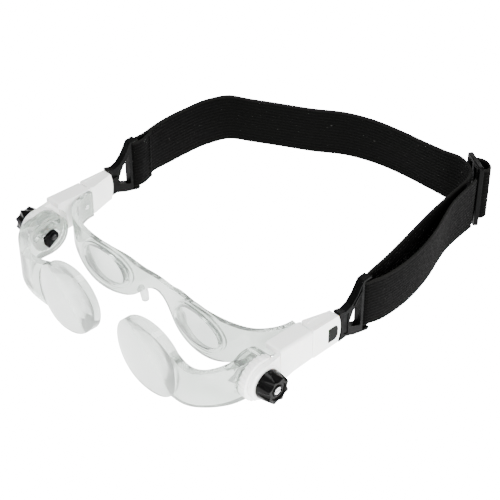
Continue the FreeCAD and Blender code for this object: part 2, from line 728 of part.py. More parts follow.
ear_room_high = cylinder("EarRoomHigh", EAR_ROOM, 5.4, HX, HY, 31.2, "Z", EAR_ROOM_EXPRESSION)
knuckle = cylinder("SleeveKnuckle", V["barrel_radius"], 7.2, HX, HY, 23.9, "Z", "Sizes.barrel_radius")
knuckle_web = block("KnuckleWeb", HX - 0.9, HX + 1.4, HY, SF + 1.4, 23.9, 31.1)
pin_run = cylinder("PinRun", V["hinge_pin_radius"] + V["running_gap"], 20, HX, HY, 17.0, "Z",
                   "Sizes.hinge_pin_radius + Sizes.running_gap")
socket = block("ClipSocket", 79.0, 82.4, 37.0, 55.0, 22.4, 32.6)


def d_shape(name, grow, x0, x1, shift=0.0):
    """D outline with a straight front edge and a rounded back edge."""
    body = new_body(name)
    sk = sketch(body, "YZ_Plane", x0)
    corner_y = 46.1 + grow * 0.8
    polygon(sk, [
        (40.6 - grow, 23.0 - grow), (44.2, 23.0 - grow),
        (46.8 + grow, 26.0, corner_y, 24.0 - grow * 0.6), (46.8 + grow, 28.6),
        (44.2, 30.8 + grow, corner_y, 30.2 + grow * 0.6), (40.6 - grow, 30.8 + grow)])
    pad(body, sk, "%s" % (x1 - x0))
    return body


window = d_shape("ButtonWindow", 0.0, 82.0, 86.0)
sleeve_solid = fused("SleeveSolid", [
    cut("SleeveBody", sleeve_blank,
        fused("SleeveCuts", [panel, ear_room_low, ear_room_high, socket, window])),
    knuckle, knuckle_web])
sleeve_final = cut("Sleeve", sleeve_solid, pin_run)
pair("temple_sleeve", sleeve_final)

button_face = d_shape("ButtonFace", -0.15, SO + V["button_proud"] - V["button_thick"], SO + V["button_proud"])
button_flange = block("ButtonFlange", 81.7, 82.3, 39.8, 46.6, 22.7, 31.6)
pair("release_button", fused("Button", [button_face, button_flange]))

# ---------------------------------------------------------------- strap clip

BAR_X = V["clip_in"] + V["clip_thick"] / 2
BAR_Y = V["bar_centre"]
RAIL = V["rail_front"]
SLOT_LOW = V["slot_low"]
SLOT_HIGH = V["slot_high"]
clip = new_body("StrapClip")
sk = sketch(clip, "YZ_Plane", V["clip_in"], "Sizes.clip_in")
BB = V["bar_back"]
polygon(sk, [
    (SB - 1.2, 36.6), (51.4, 35.6), (55.2, 37.0), (58.8, 40.8), (62.6, 47.0), (BB - 0.8, 47.4), (BB, 46.6),
    (BB, 17.0), (BB - 1.0, 16.2), (58.0, 18.4), (52.4, 20.6), (SB - 1.2, 20.0),
    (SB - 1.3, 20.4), (SB - 1.3, 35.4, SB + 0.3, 27.6)])
pad(clip, sk, "Sizes.clip_thick")
sk = sketch(clip, "YZ_Plane", V["clip_in"] - 0.01, "Sizes.clip_in - 0.01")
polygon(sk, [(54.4, 28.8), (55.8, 24.6, 54.7, 26.2), (RAIL, 22.2), (RAIL, 40.2), (59.6, 37.6), (56.8, 34.0)])
pocket(clip, sk, "Sizes.clip_thick + 1", reverse=True)
# slot for the webbing between the upright and the bar
sk = sketch(clip, "YZ_Plane", V["clip_in"] - 0.01, "Sizes.clip_in - 0.01")
polygon(sk, [
    (RAIL + 1.7, SLOT_LOW), (BAR_Y - 0.85, SLOT_LOW), (BAR_Y - 0.85, SLOT_HIGH), (RAIL + 1.7, SLOT_HIGH)])
pocket(clip, sk, "Sizes.clip_thick + 1", reverse=True)
# recessed web between the raised edges
sk = sketch(clip, "YZ_Plane", V["clip_in"] + V["clip_thick"], "Sizes.clip_in + Sizes.clip_thick + 0.01")
polygon(sk, [(50.6, 22.6), (53.2, 22.0), (53.2, 33.8), (50.6, 34.2)])
pocket(clip, sk, "0.4")
sk = sketch(clip, "YZ_Plane", V["clip_in"] + V["clip_thick"], "Sizes.clip_in + Sizes.clip_thick + 0.01")
polygon(sk, [(56.0, 36.6), (56.9, 35.9), (59.2, 38.8), (61.9, 41.6), (62.0, 44.6), (59.6, 40.6)])
pocket(clip, sk, "0.5")
# the bar is slimmer than the plate so that the webbing round it stays flush
bar_slim = block("BarSlim", V["clip_in"] - 1, BAR_X - 0.65, BAR_Y - 0.86, BB + 1, SLOT_LOW, SLOT_HIGH)
bar_slim_out = block("BarSlimOut", BAR_X + 0.65, V["clip_in"] + 9, BAR_Y - 0.86, BB + 1, SLOT_LOW, SLOT_HIGH)
tongue = block("ClipTongue", 79.1, 80.4, 41.5, 52.8, 24.2, 31.0)
tongue_root = block("ClipTongueRoot", 79.1, 81.6, 50.6, 52.9, 24.2, 31.0)
clip_slimmed = cut("ClipBars", clip, fused("BarCuts", [bar_slim, bar_slim_out]))
clip_final = fused("Clip", [clip_slimmed, tongue, tongue_root])
pair("strap_clip", clip_final)

# ---------------------------------------------------------------- headband


def even_route(route, step=8.0):
    """Evenly spaced points on a smooth curve through the route's points, with lean and width carried along."""
    route = [tuple(p) + (V["strap_wide"],) * (5 - len(p)) for p in route]
    curve = Part.BSplineCurve()
    curve.interpolate([Vector(*p[:3]) for p in route])
    knots = [curve.parameter(Vector(*p[:3])) for p in route]
    count = max(4, int(round(curve.length() / step)) + 1)
    stations = []
    for point in curve.discretize(count):
        here = curve.parameter(point)
        after = next((i for i in range(1, len(knots)) if knots[i] >= here - 1e-9), len(knots) - 1)
        share = (here - knots[after - 1]) / (knots[after] - knots[after - 1])
        lean, wide = [a + (b - a) * share for a, b in zip(route[after - 1][3:], route[after][3:])]
        stations.append((point.x, point.y, point.z, lean, wide))
    return stations


def ribbon(name, route, thickness):
    """Webbing lofted along (x, y, bottom z, lean, width); lean moves the top edge to the right of travel."""
    stations = even_route(route)
    sections = []
    for i, (x, y, z, lean, wide) in enumerate(stations):
        ax, ay = stations[max(i - 1, 0)][:2]
        bx, by = stations[min(i + 1, len(stations) - 1)][:2]
        length = math.hypot(bx - ax, by - ay)
        ux, uy = (by - ay) / length, -(bx - ax) / length
        nx, ny = ux * thickness / 2, uy * thickness / 2
        tx, ty = x + ux * lean, y + uy * lean
        top = z + math.sqrt(wide ** 2 - lean ** 2)
        section = doc.addObject("Part::Polygon", "%s_section%d" % (name, i))
        section.Nodes = [Vector(x + nx, y + ny, z), Vector(x - nx, y - ny, z),
                         Vector(tx - nx, ty - ny, top), Vector(tx + nx, ty + ny, top)]
        section.Close = True
        sections.append(section)
    loft = doc.addObject("Part::Loft", name)
    loft.Sections = sections
    loft.Solid = True
    loft.Ruled = True
    return loft


T = V["strap_thick"]
WRAP = V["wrap_radius"]
LEFT_Z = 19.6
LEFT_WIDE = 25.2
RIGHT_Z = 18.4
RIGHT_WIDE = 27.4
# from the clip backwards: travel is +Y, so a positive lean is towards +X
left_outer = [
    (BAR_X + WRAP, BAR_Y, LEFT_Z, 0.0, LEFT_WIDE), (83.6, 75.0, 17.0, 0.8, 26.4), (81.4, 88.0, 13.6, 2.0, 28.0),
    (78.9, 100.0, 11.2, 2.8, 29.4)]
left_inner = [
    (BAR_X - WRAP, BAR_Y, LEFT_Z, 0.0, LEFT_WIDE), (77.9, 75.0, 17.0, -0.4, 26.4), (74.6, 88.0, 13.6, -0.4, 28.0),
    (71.7, 100.0, 11.2, -0.4, 29.4)]


def bar_wrap(name, z, wide):
    """Half turn of webbing round the front of the clip bar."""
    ring_out = cylinder(name + "Out", WRAP + T / 2, wide, BAR_X, BAR_Y, z, "Z")
    ring_in = cylinder(name + "In", WRAP - T / 2, wide + 2, BAR_X, BAR_Y, z - 1, "Z")
    half = block(name + "Half", BAR_X - 6, BAR_X + 6, BAR_Y, BAR_Y + 8, z - 2, z + wide + 2)
    return cut(name, ring_out, fused(name + "Tools", [ring_in, half]))


node("strap_left_loop", fused("LeftLoop", [
    ribbon("LeftOuterRun", left_outer, T), ribbon("LeftInnerRun", left_inner, T),
    bar_wrap("LeftWrap", LEFT_Z, LEFT_WIDE)]))

right_outer = [
    (-BAR_X - WRAP, BAR_Y, RIGHT_Z, 0.0, RIGHT_WIDE), (-86.2, 75.0, 16.6, 0.8, 28.4), (-91.0, 88.0, 14.0, 1.6, 29.8),
    (-93.6, 100.0, 12.0, 1.8)]
right_flap = [
    (-BAR_X + WRAP, BAR_Y, RIGHT_Z, 0.0, RIGHT_WIDE), (-82.2, 73.2, 16.8, 0.4, 28.0), (-86.0, 80.6, 15.4, 0.8, 28.8)]
right_wrap = doc.addObject("Part::Mirroring", "RightWrap")
right_wrap.Source = bar_wrap("RightWrapSource", RIGHT_Z, RIGHT_WIDE)
right_wrap.Normal = Vector(1, 0, 0)
node("strap_right_end", fused("RightEnd", [
    ribbon("RightOuterRun", right_outer, T), ribbon("RightFlap", right_flap, T), right_wrap]))

# a row of stitching that holds the fold shut
stitches = []
for i in range(9):
    z = 17.6 + 2.9 * i
    stitch = block("Stitch%d" % i, 0.0, 0.45, -0.35, 0.35, 0.0, 2.0)
    lean = 0.65 * (z - 14.0) / 30.0
    stitch.Placement = Placement(Vector(-84.05 + lean, 78.5, z), Rotation(Vector(0, 0, 1), 28.0))
    stitches.append(stitch)
node("strap_stitching", fused("Stitching", stitches))

GX, GY = 46.2, 192.7
GD = (-0.86, 0.51)
GN = (0.51, 0.86)


def along(distance, side, z, lean=0.0):
    """Route point beside the slider: distance towards the back, side outwards."""
    return (GX + GD[0] * distance + GN[0] * side, GY + GD[1] * distance + GN[1] * side, z, lean)


back_route = [
    (-93.9, 101.6, 11.6, 1.8), (-95.4, 112.0, 10.8, 2.0), (-97.6, 134.0, 8.0, 2.4), (-95.4, 148.6, 6.0, 3.6),
    (-86.4, 157.6, 4.0, 4.0), (-76.3, 166.1, 2.5, 4.0), (-58.6, 178.6, 1.0, 4.0), (-42.3, 190.6, 0.3, 4.0),
    (-25.7, 196.4, 0.05, 4.0), (-7.5, 198.0, 0.4, 4.0), (12.0, 196.9, 1.4, 3.6), (26.0, 195.4, 2.4, 2.6),
    along(9.5, -4.3, 3.0, 0.6), along(-4.0, -4.1, 3.0, 0.0),
    (52.0, 179.0, 3.2, 0.2), (54.6, 168.0, 4.2, 0.3), (57.9, 154.0, 5.8, 0.3), (61.9, 137.0, 7.2, 0.4),
    (66.6, 119.0, 9.0, 0.4, 30.4), (71.2, 101.6, 11.0, 0.4, 29.5)]
node("strap_band", ribbon("BandRun", back_route, T))
outer_return = [
    (78.5, 101.6, 11.0, 2.8, 29.5), (75.2, 114.0, 9.4, 3.0, 30.4), (70.6, 127.6, 7.8, 2.8), (65.0, 141.4, 6.6, 2.4),
    (60.8, 152.6, 5.6, 2.0), (58.4, 162.0, 4.8, 1.6), (56.4, 172.0, 3.8, 1.2), (54.8, 181.6, 3.1, 0.4)]
node("strap_return", ribbon("ReturnRun", outer_return, T))

# tri-glide slider and the bight of webbing over its middle bar
GLIDE = Placement(Vector(GX, GY, 0), Rotation(Vector(0, 0, 1), math.degrees(math.atan2(GD[1], GD[0]))))
glide = new_body("TriGlide")
sk = sketch(glide, "XZ_Plane")
half = V["glide_long"] / 2
wide = V["glide_wide"]
polygon(sk, [
    (-half + 1.5, 0.1, -half + 0.44, 0.54), (half - 1.5, 0.1), (half, 1.6, half - 0.44, 0.54), (half, wide - 1.5),
    (half - 1.5, wide, half - 0.44, wide - 0.44), (-half + 1.5, wide),
    (-half, wide - 1.5, -half + 0.44, wide - 0.44), (-half, 1.6)])
pad(glide, sk, "Sizes.glide_thick", symmetric=True)
for side in (-1, 1):
    sk = sketch(glide, "XZ_Plane")
    polygon(sk, [(side * 1.8, 2.6), (side * 7.0, 2.6), (side * 7.0, wide - 2.6), (side * 1.8, wide - 2.6)])
    pocket(glide, sk, "Sizes.glide_thick + 4", symmetric=True)
glide.Placement = GLIDE
glide_out = fused("GlidePlaced", [glide])
node("strap_slider", glide_out)

bight_points = [
    (-6.2, 1.2), (-6.3, -1.6), (-6.8, -3.8), (-5.2, -6.8), (-1.0, -8.0), (3.4, -7.0), (6.2, -3.9), (6.3, -1.6),
    (6.2, 1.2)]
bight = new_body("Bight")
sk = sketch(bight, "XY_Plane", 3.2, "3.2")
inner_points = [(x * 0.75, y + 1.5 if y < -5 else y) for x, y in bight_points]
strip(sk, bight_points, inner_points)
pad(bight, sk, "Sizes.strap_wide")
bight.Placement = GLIDE
node("strap_bight", fused("BightPlaced", [bight]))

# ---------------------------------------------------------------- checks and export

doc.recompute()
for obj in doc.Objects:
    state = list(obj.State)
    if "Invalid" in state or "Error" in state:
        raise RuntimeError("%s is %s" % (obj.Label, state))
os.makedirs("parts", exist_ok=True)
low = Vector(1e9, 1e9, 1e9)
high = Vector(-1e9, -1e9, -1e9)
for name, obj in NODES:
    shape = obj.Shape
    if shape.isNull() or not shape.isValid():
        raise RuntimeError(name + " has no valid shape")
    box = shape.BoundBox
    low = Vector(min(low.x, box.XMin), min(low.y, box.YMin), min(low.z, box.ZMin))
    high = Vector(max(high.x, box.XMax), max(high.y, box.YMax), max(high.z, box.ZMax))
    shape.exportStep("parts/%s.step" % name)
    print("%-24s solids %d volume %.1f" % (name, len(shape.Solids), shape.Volume))
print("box", low, high)
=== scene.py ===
import math
import bmesh
import bpy
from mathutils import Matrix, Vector


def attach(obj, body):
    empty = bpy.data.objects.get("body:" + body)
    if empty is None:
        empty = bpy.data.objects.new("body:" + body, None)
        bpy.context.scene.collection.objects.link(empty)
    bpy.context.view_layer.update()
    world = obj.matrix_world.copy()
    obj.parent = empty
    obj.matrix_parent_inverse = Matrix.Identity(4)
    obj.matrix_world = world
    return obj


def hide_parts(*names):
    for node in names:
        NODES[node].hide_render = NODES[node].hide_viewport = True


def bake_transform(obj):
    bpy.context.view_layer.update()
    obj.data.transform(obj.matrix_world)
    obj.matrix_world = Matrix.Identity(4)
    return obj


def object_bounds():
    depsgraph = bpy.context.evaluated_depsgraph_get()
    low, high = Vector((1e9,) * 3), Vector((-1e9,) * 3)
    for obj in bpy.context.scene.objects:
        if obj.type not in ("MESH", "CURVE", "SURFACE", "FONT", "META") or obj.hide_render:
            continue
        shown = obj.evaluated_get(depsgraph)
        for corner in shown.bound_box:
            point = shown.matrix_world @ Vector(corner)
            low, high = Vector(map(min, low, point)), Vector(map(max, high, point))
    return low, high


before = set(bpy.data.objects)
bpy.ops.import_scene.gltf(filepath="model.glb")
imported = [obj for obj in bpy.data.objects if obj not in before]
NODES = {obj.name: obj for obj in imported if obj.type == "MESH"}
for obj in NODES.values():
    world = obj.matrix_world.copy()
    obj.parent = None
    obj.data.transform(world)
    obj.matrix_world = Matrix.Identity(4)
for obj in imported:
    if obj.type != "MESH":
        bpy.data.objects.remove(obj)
cad_low, cad_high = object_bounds()
SIDES = ("left", "right")

# ---------------------------------------------------------------- places shared with the frame, in metres

MM = 0.001
ORIGIN_X = -3.45            # the frame's origin in the design's own coordinates, mm
ORIGIN_Y = 88.3


def place(x, y, z):
    """A point given in mm in the design's own coordinates, as a vector in the frame."""
    return Vector(((x - ORIGIN_X) * MM, (y - ORIGIN_Y) * MM, z * MM))


# ---------------------------------------------------------------- camera

CAMERA_AZIMUTH = 46.005     # degrees, round from the front
CAMERA_ELEVATION = 36.26    # degrees above the floor
CAMERA_AT = (402.99, -316.83, 425.98)
CAMERA_LENS = 99.14         # focal length on a full-frame sensor, mm
FULL_FRAME = 36.0           # that sensor's width, mm
az = math.radians(CAMERA_AZIMUTH)
el = math.radians(CAMERA_ELEVATION)
back = Vector((math.sin(az) * math.cos(el), -math.cos(az) * math.cos(el), math.sin(el)))
camera_data = bpy.data.cameras.new("camera")
camera_data.lens = CAMERA_LENS
camera_data.sensor_width = FULL_FRAME
camera_data.clip_start = 0.01
camera_data.clip_end = 20.0
camera = bpy.data.objects.new("camera", camera_data)
camera.location = place(*CAMERA_AT)
camera.rotation_mode = "QUATERNION"
camera.rotation_quaternion = (-back).to_track_quat("-Z", "Y")
bpy.context.scene.collection.objects.link(camera)
bpy.context.scene.camera = camera

# ---------------------------------------------------------------- stage and light

FLOOR_DROP = 0.0004         # gap under the lowest point of the part
FLOOR_REACH = 3.0
FLOOR_GLOW = 2.5            # what the piece gets from the lit paper under it
FLOOR_WHITE = 14.0          # added for the camera, so that the paper itself shows clean white


def floor_material():
    mat = bpy.data.materials.new("floor_paper")
    mat.use_nodes = True
    nt = mat.node_tree
    shader = nt.nodes["Principled BSDF"]
    shader.inputs["Roughness"].default_value = 0.9
    shader.inputs["Specular IOR Level"].default_value = 0.0
    shader.inputs["Emission Color"].default_value = (1, 1, 1, 1)
    path = nt.nodes.new("ShaderNodeLightPath")
    glow = nt.nodes.new("ShaderNodeMath")
    glow.operation = "MULTIPLY_ADD"
    glow.inputs[1].default_value = FLOOR_WHITE
    glow.inputs[2].default_value = FLOOR_GLOW
    nt.links.new(path.outputs["Is Camera Ray"], glow.inputs[0])
    nt.links.new(glow.outputs[0], shader.inputs["Emission Strength"])
    noise = nt.nodes.new("ShaderNodeTexNoise")
    noise.inputs["Scale"].default_value = 3.0
    ramp = nt.nodes.new("ShaderNodeValToRGB")
    ramp.color_ramp.elements[0].color = (0.93, 0.93, 0.93, 1)
    ramp.color_ramp.elements[1].color = (0.96, 0.96, 0.96, 1)
    nt.links.new(noise.outputs["Fac"], ramp.inputs["Fac"])
    nt.links.new(ramp.outputs["Color"], shader.inputs["Base Color"])
    return mat


def make_floor():
    mesh = bpy.data.meshes.new("floor")
    bm = bmesh.new()
    low = cad_low.z - FLOOR_DROP
    corners = ((-1, -1), (1, -1), (1, 1), (-1, 1))
    bm.faces.new([bm.verts.new((x * FLOOR_REACH, y * FLOOR_REACH, low)) for x, y in corners])
    bm.to_mesh(mesh)
    bm.free()
    obj = bpy.data.objects.new("floor", mesh)
    bpy.context.scene.collection.objects.link(obj)
    obj.data.materials.append(floor_material())


def area_light(name, location, target, size, power):
    data = bpy.data.lights.new(name, "AREA")
    data.shape = "DISK"
    data.size = size
    data.energy = power
    obj = bpy.data.objects.new(name, data)
    obj.location = location
    obj.rotation_mode = "QUATERNION"
    obj.rotation_quaternion = (Vector(target) - Vector(location)).to_track_quat("-Z", "Y")
    bpy.context.scene.collection.objects.link(obj)


SKY = 0.75                  # light from all round, on the piece
WALL_WHITE = 16.0           # added for the camera, so that a low view has a pale wall behind it


def make_world():
    """Soft white overhead, dimmer towards the horizon, so that dark plastic keeps its depth."""
    world = bpy.data.worlds.new("studio")
    world.use_nodes = True
    nt = world.node_tree
    background = nt.nodes["Background"]
    path = nt.nodes.new("ShaderNodeLightPath")
    wall = nt.nodes.new("ShaderNodeMath")
    wall.operation = "MULTIPLY_ADD"
    wall.inputs[1].default_value = WALL_WHITE
    wall.inputs[2].default_value = SKY
    nt.links.new(path.outputs["Is Camera Ray"], wall.inputs[0])
    nt.links.new(wall.outputs[0], background.inputs["Strength"])
    coords = nt.nodes.new("ShaderNodeTexCoord")
    split = nt.nodes.new("ShaderNodeSeparateXYZ")
    ramp = nt.nodes.new("ShaderNodeValToRGB")
    ramp.color_ramp.elements[0].position = 0.0
    ramp.color_ramp.elements[0].color = (0.12, 0.12, 0.12, 1)
    ramp.color_ramp.elements[1].position = 0.8
    ramp.color_ramp.elements[1].color = (1, 1, 1, 1)
    nt.links.new(coords.outputs["Generated"], split.inputs[0])
    nt.links.new(split.outputs["Z"], ramp.inputs["Fac"])
    nt.links.new(ramp.outputs["Color"], background.inputs["Color"])
    bpy.context.scene.world = world


make_floor()
make_world()
area_light("key", (1.0, -0.55, 0.55), (0, 0, 0.02), 0.6, 40.0)
area_light("front", (0.1, -1.1, 0.5), (0, 0, 0.02), 0.5, 1.2)
area_light("top", (-0.2, 0.2, 1.1), (0, 0, 0), 0.6, 8.0)
area_light("back", (-0.6, 0.9, 0.6), (0, 0, 0), 0.4, 4.0)

# ---------------------------------------------------------------- materials

MIX_AMOUNT, MIX_BASE, MIX_OVER, MIX_RESULT = 0, 6, 7, 2     # colour sockets of the mix node


class Look:
    """A Principled material with short calls for the nodes that vary it."""

    def __init__(self, name):
        self.mat = bpy.data.materials.new(name)
        self.mat.use_nodes = True
        self.nt = self.mat.node_tree
        self.shader = self.nt.nodes["Principled BSDF"]

    def set(self, **values):
        for key, value in values.items():
            self.shader.inputs[key.replace("_", " ")].default_value = value

    def node(self, kind, **values):
        made = self.nt.nodes.new(kind)
        for key, value in values.items():
            made.inputs[key.replace("_", " ")].default_value = value
        return made

    def link(self, a, out, b, into):
        self.nt.links.new(a.outputs[out], b.inputs[into])

    def ramp(self, source, out, stops):
        made = self.nt.nodes.new("ShaderNodeValToRGB")
        elements = made.color_ramp.elements
        while len(elements) < len(stops):
            elements.new(0.5)
        for element, (position, color) in zip(elements, stops):
            element.position = position
            if not isinstance(color, tuple):
                color = (color, color, color)
            element.color = (*color, 1)
        self.link(source, out, made, "Fac")
        return made

    def noise(self, scale, detail=2.0, rough=0.5):
        made = self.node("ShaderNodeTexNoise", Scale=scale, Detail=detail, Roughness=rough)
        self.link(self.nt.nodes.new("ShaderNodeTexCoord"), "Object", made, "Vector")
        return made

    def math(self, operation, source, out, second=None):
        """A math node on one output, with a constant as its second value where one is given."""
        made = self.nt.nodes.new("ShaderNodeMath")
        made.operation = operation
        self.link(source, out, made, 0)
        if second is not None:
            made.inputs[1].default_value = second
        return made

    def mix(self, amount, base, base_out, color):
        """A base colour with another one laid over it by an amount."""
        made = self.nt.nodes.new("ShaderNodeMix")
        made.data_type = "RGBA"
        self.link(amount, "Color", made, MIX_AMOUNT)
        self.link(base, base_out, made, MIX_BASE)
        made.inputs[MIX_OVER].default_value = (*color, 1)
        return made

    def bump(self, source, out, strength, distance):
        made = self.node("ShaderNodeBump", Strength=strength, Distance=distance)
        self.link(source, out, made, "Height")
        self.link(made, "Normal", self.shader, "Normal")


def clear_plastic(name, low, high, roughness, transmission, wave):
    """Moulded clear acrylic: a faint cool tint, flow streaks and slight waviness from the mould."""
    look = Look(name)
    look.set(IOR=1.49, Transmission_Weight=transmission, Specular_IOR_Level=0.5)
    flow = look.noise(38.0, 2.0)
    tint = look.ramp(flow, "Fac", [(0.3, low), (0.7, high)])
    look.link(tint, "Color", look.shader, "Base Color")
    fine = look.noise(170.0, 3.0)
    gloss = look.ramp(fine, "Fac", [(0.3, roughness * 0.7), (0.7, roughness * 1.3)])
    look.link(gloss, "Color", look.shader, "Roughness")
    ripple = look.noise(60.0, 1.0)
    look.bump(ripple, "Fac", wave, 0.001)
    return look.mat


def white_plastic(name, low, high, roughness):
    """Glossy white ABS with a fine orange-peel skin and handling marks in its gloss."""
    look = Look(name)
    look.set(IOR=1.5, Coat_Weight=0.35, Coat_Roughness=0.08, Subsurface_Weight=0.05, Subsurface_Scale=0.002)
    cloud = look.noise(25.0, 3.0)
    tint = look.ramp(cloud, "Fac", [(0.35, low), (0.65, high)])
    look.link(tint, "Color", look.shader, "Base Color")
    smear = look.noise(140.0, 4.0, 0.6)
    gloss = look.ramp(smear, "Fac", [(0.35, roughness * 0.8), (0.7, roughness * 1.35)])
    look.link(gloss, "Color", look.shader, "Roughness")
    peel = look.noise(900.0, 1.0)
    look.bump(peel, "Fac", 0.06, 0.0004)
    return look.mat


def black_plastic(name, low, high, roughness, grain, depth, coat):
    """Black moulded plastic; grain is the texture's scale and depth its strength."""
    look = Look(name)
    look.set(IOR=1.5, Specular_IOR_Level=0.03, Coat_Weight=coat, Coat_Roughness=0.1)
    cloud = look.noise(60.0, 3.0)
    tint = look.ramp(cloud, "Fac", [(0.35, low), (0.7, high)])
    look.link(tint, "Color", look.shader, "Base Color")
    scuff = look.noise(260.0, 5.0, 0.65)
    gloss = look.ramp(scuff, "Fac", [(0.35, roughness * 0.75), (0.75, roughness * 1.4)])
    look.link(gloss, "Color", look.shader, "Roughness")
    skin = look.noise(grain, 2.0)
    look.bump(skin, "Fac", depth, 0.0005)
    return look.mat


def steel(name, low, high, roughness):
    """Turned and plated steel: fine rings in the gloss, faint staining in the colour."""
    look = Look(name)
    look.set(Metallic=1.0)
    stain = look.noise(220.0, 3.0)
    tint = look.ramp(stain, "Fac", [(0.3, low), (0.7, high)])
    look.link(tint, "Color", look.shader, "Base Color")
    fine = look.noise(1500.0, 2.0)
    gloss = look.ramp(fine, "Fac", [(0.3, roughness * 0.7), (0.7, roughness * 1.4)])
    look.link(gloss, "Color", look.shader, "Roughness")
    look.bump(fine, "Fac", 0.1, 0.0002)
    return look.mat


WALE_PITCH = 1.15           # spacing of stitches across the band, against along it
LINT = (0.03, 0.03, 0.028)


def knitted(name, low, high, edge, stitch):
    """Knitted elastic with a painted highlight along its edges, painted shade in the hollows of its stitches
    and a few specks of lint. The point attribute webbing_run holds metres along and across the band, and how
    near the edge a point is, 0 to 1."""
    look = Look(name)
    look.set(Roughness=0.88, Sheen_Weight=0.003, Sheen_Roughness=0.45, Specular_IOR_Level=0.04)
    look.shader.inputs["Sheen Tint"].default_value = (0.5, 0.5, 0.5, 1)
    run = look.nt.nodes.new("ShaderNodeAttribute")
    run.attribute_name = "webbing_run"
    split = look.nt.nodes.new("ShaderNodeSeparateXYZ")
    look.link(run, "Vector", split, "Vector")
    rows = look.math("SINE", look.math("MULTIPLY", split, "X", 2 * math.pi / stitch), 0)
    wales = look.math("SINE", look.math("MULTIPLY", split, "Y", 2 * math.pi / (stitch * WALE_PITCH)), 0)
    weave = look.math("MULTIPLY", rows, 0)
    look.link(wales, 0, weave, 1)
    height = look.math("ADD", weave, 0)
    look.link(look.noise(2600.0, 2.0), "Fac", height, 1)
    look.bump(height, 0, 0.35, 0.00018)
    # painted shade: the colour follows the stitch height, darker in the hollows of the knit and paler on its
    # crests
    stitch_shade = look.ramp(height, 0, [(0.0, low), (0.9, high)])
    # painted highlight: towards the band's edges the colour turns to the edge colour, in place of light on the
    # edges' thickness
    edge_highlight_mask = look.ramp(split, "Z", [(0.90, 0.0), (1.0, 1.0)])
    edge_highlit = look.mix(edge_highlight_mask, stitch_shade, "Color", edge)
    specks = look.ramp(look.noise(650.0, 0.0), "Fac", [(0.845, 0.0), (0.87, 0.6)])
    linted = look.mix(specks, edge_highlit, MIX_RESULT, LINT)
    look.link(linted, MIX_RESULT, look.shader, "Base Color")
    return look.mat


def grey(value):
    return (value, value, value)


CLEAR = clear_plastic("clear_acrylic", (0.52, 0.565, 0.53), (0.74, 0.785, 0.745), 0.09, 0.84, 0.35)
LENS = clear_plastic("lens_acrylic", (0.60, 0.64, 0.61), (0.76, 0.795, 0.765), 0.06, 0.87, 0.08)
SOFT_CLEAR = clear_plastic("soft_silicone", (0.80, 0.82, 0.81), (0.88, 0.90, 0.89), 0.3, 0.75, 0.05)
WHITE = white_plastic("white_abs", (0.92, 0.925, 0.90), (0.955, 0.96, 0.935), 0.22)
RING_WHITE = white_plastic("ring_white_abs", (0.88, 0.88, 0.86), (0.92, 0.92, 0.90), 0.3)
KNOB = black_plastic("knob_black_abs", grey(0.0012), grey(0.003), 0.18, 700.0, 0.05, 0.1)
CLIP = black_plastic("clip_black_nylon", grey(0.0012), grey(0.003), 0.42, 900.0, 0.12, 0.0)
PLATE = black_plastic("plate_black", grey(0.001), grey(0.003), 0.5, 900.0, 0.1, 0.0)
BUTTON = black_plastic("button_black", (0.005, 0.0055, 0.005), (0.010, 0.0105, 0.010), 0.5, 1500.0, 0.3, 0.0)
RUBBER = black_plastic("washer_rubber", grey(0.003), grey(0.006), 0.75, 1200.0, 0.3, 0.0)
SCREW = steel("screw_plated_steel", (0.55, 0.55, 0.56), (0.75, 0.75, 0.76), 0.22)
PIN = steel("pin_ground_steel", (0.45, 0.45, 0.46), (0.62, 0.62, 0.63), 0.3)
DARK_SCREW = steel("screw_black_oxide", grey(0.03), grey(0.07), 0.35)
# knitted colours: stitch hollows with painted shade, stitch crests, then the painted highlight along the edges
WEBBING = knitted("knitted_elastic", grey(0.0002), (0.0012, 0.0012, 0.0011), (0.007, 0.007, 0.0066), 0.0009)
THREAD = knitted("black_thread", grey(0.001), grey(0.005), grey(0.008), 0.0005)

FINISH = {
    "eyepiece_lens": LENS, "nose_pad": SOFT_CLEAR, "housing_shell": WHITE, "housing_cover": WHITE,
    "frame_screw": SCREW, "hinge_pin": PIN, "focus_knob": KNOB, "knob_shaft": PIN, "knob_screw": SCREW,
    "knob_washer": RUBBER, "toothed_ring": RING_WHITE, "cam_plate": PLATE, "cam_screw": DARK_SCREW,
    "lens_carrier": CLEAR, "objective_lens": LENS, "temple_sleeve": WHITE, "strap_clip": CLIP,
    "release_button": BUTTON,
}


def finish_node(name, mat):
    obj = NODES[name]
    obj.data.materials.clear()
    obj.data.materials.append(mat)


WELD_REACH = 1e-6
CREASE = math.radians(40)   # edges sharper than this are rounded


def soften(name, radius):
    """Rounds a node's moulded edges by a small radius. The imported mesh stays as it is."""
    obj = NODES[name]
    weld = obj.modifiers.new("weld", "WELD")
    weld.merge_threshold = WELD_REACH
    bevel = obj.modifiers.new("edges", "BEVEL")
    bevel.width = radius
    bevel.segments = 2
    bevel.limit_method = "ANGLE"
    bevel.angle_limit = CREASE
    bevel.harden_normals = True
    normals = obj.modifiers.new("normals", "WEIGHTED_NORMAL")
    normals.keep_sharp = True


SOFT_EDGES = {
    "housing_shell": 0.00035, "temple_sleeve": 0.00035, "strap_clip": 0.0003, "focus_knob": 0.00025,
    "release_button": 0.00015, "toothed_ring": 0.0002,
}
finish_node("ocular_frame", CLEAR)
finish_node("strap_slider", CLIP)
for side in SIDES:
    for piece, mat in FINISH.items():
        finish_node(side + "_" + piece, mat)
    for piece, radius in SOFT_EDGES.items():
        soften(side + "_" + piece, radius)
soften("strap_slider", 0.0004)

# ---------------------------------------------------------------- webbing

WIDE = 0.031                # webbing at full width, metres
THICK = 0.0015
RIBS = 15                   # ribs across the band
PER_RIB = 4                 # lanes of faces in each rib
STEP = 0.0022               # longest step between two rings
EDGE = 0.07                 # share of the half width over which the edge is rounded
EDGE_THICK = 0.25           # thickness left at the very edge
GROOVE_DEEP = 0.36          # share of the thickness a groove takes
PLAIN_RIM = 0.97            # no grooves beyond this share of the half width


